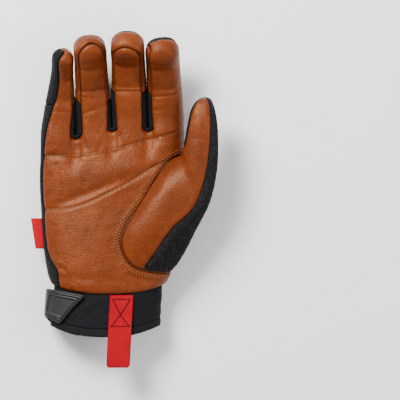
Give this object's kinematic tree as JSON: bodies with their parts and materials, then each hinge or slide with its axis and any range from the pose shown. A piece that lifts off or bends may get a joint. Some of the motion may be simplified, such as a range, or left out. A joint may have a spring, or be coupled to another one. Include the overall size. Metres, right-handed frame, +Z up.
{
  "type": "leather work glove",
  "caption": "Right-hand work glove lying palm up: goatskin palm, stretch back, black gussets between the fingers, terry thumb edge, stretch cuff with a moulded strap and a webbing pull tab.",
  "frame": {"origin": "middle of the object's footprint on the surface that it lies on, back of the hand down", "axes": "+Y from the cuff to the fingertips, +X towards the thumb, +Z up, out of the palm"},
  "size_m": [0.1498, 0.2682, 0.0601],
  "materials": {
    "leather": "smooth tan grain leather",
    "black_fabric": "ribbed stretch fabric",
    "red_fabric": "ribbed stretch fabric",
    "olive_patch": "matte synthetic suede",
    "terry": "short looped pile",
    "neoprene": "matte laminated stretch",
    "binding": "folded binding tape",
    "moulded_rubber": "satin moulded rubber",
    "red_webbing": "woven webbing",
    "red_tag": "woven label, bare"
  },
  "bodies": {
    "root": {"palm_leather": "leather", "wrist_leather": "leather", "thumb_leather": "leather", "thumb_back": "leather", "back_fabric": "black_fabric", "red_panel": "red_fabric", "index_patch": "olive_patch", "thumb_terry": "terry", "thumb_inner": "black_fabric", "cuff": "neoprene", "cuff_binding": "binding", "closure_strap": "moulded_rubber", "strap_patch": "neoprene", "pull_loop": "red_webbing", "side_tag": "red_tag", "tip_wrap_index": "leather", "tip_cap_index": "olive_patch", "tip_wrap_middle": "leather", "tip_cap_middle": "olive_patch", "tip_wrap_ring": "leather", "tip_cap_ring": "olive_patch", "tip_wrap_little": "leather", "tip_cap_little": "olive_patch", "finger_back_middle": "black_fabric", "finger_back_ring": "black_fabric", "finger_back_little": "black_fabric", "gusset_index_middle": "black_fabric", "gusset_middle_ring": "black_fabric", "gusset_ring_little": "black_fabric"}
  },
  "joints": []
}
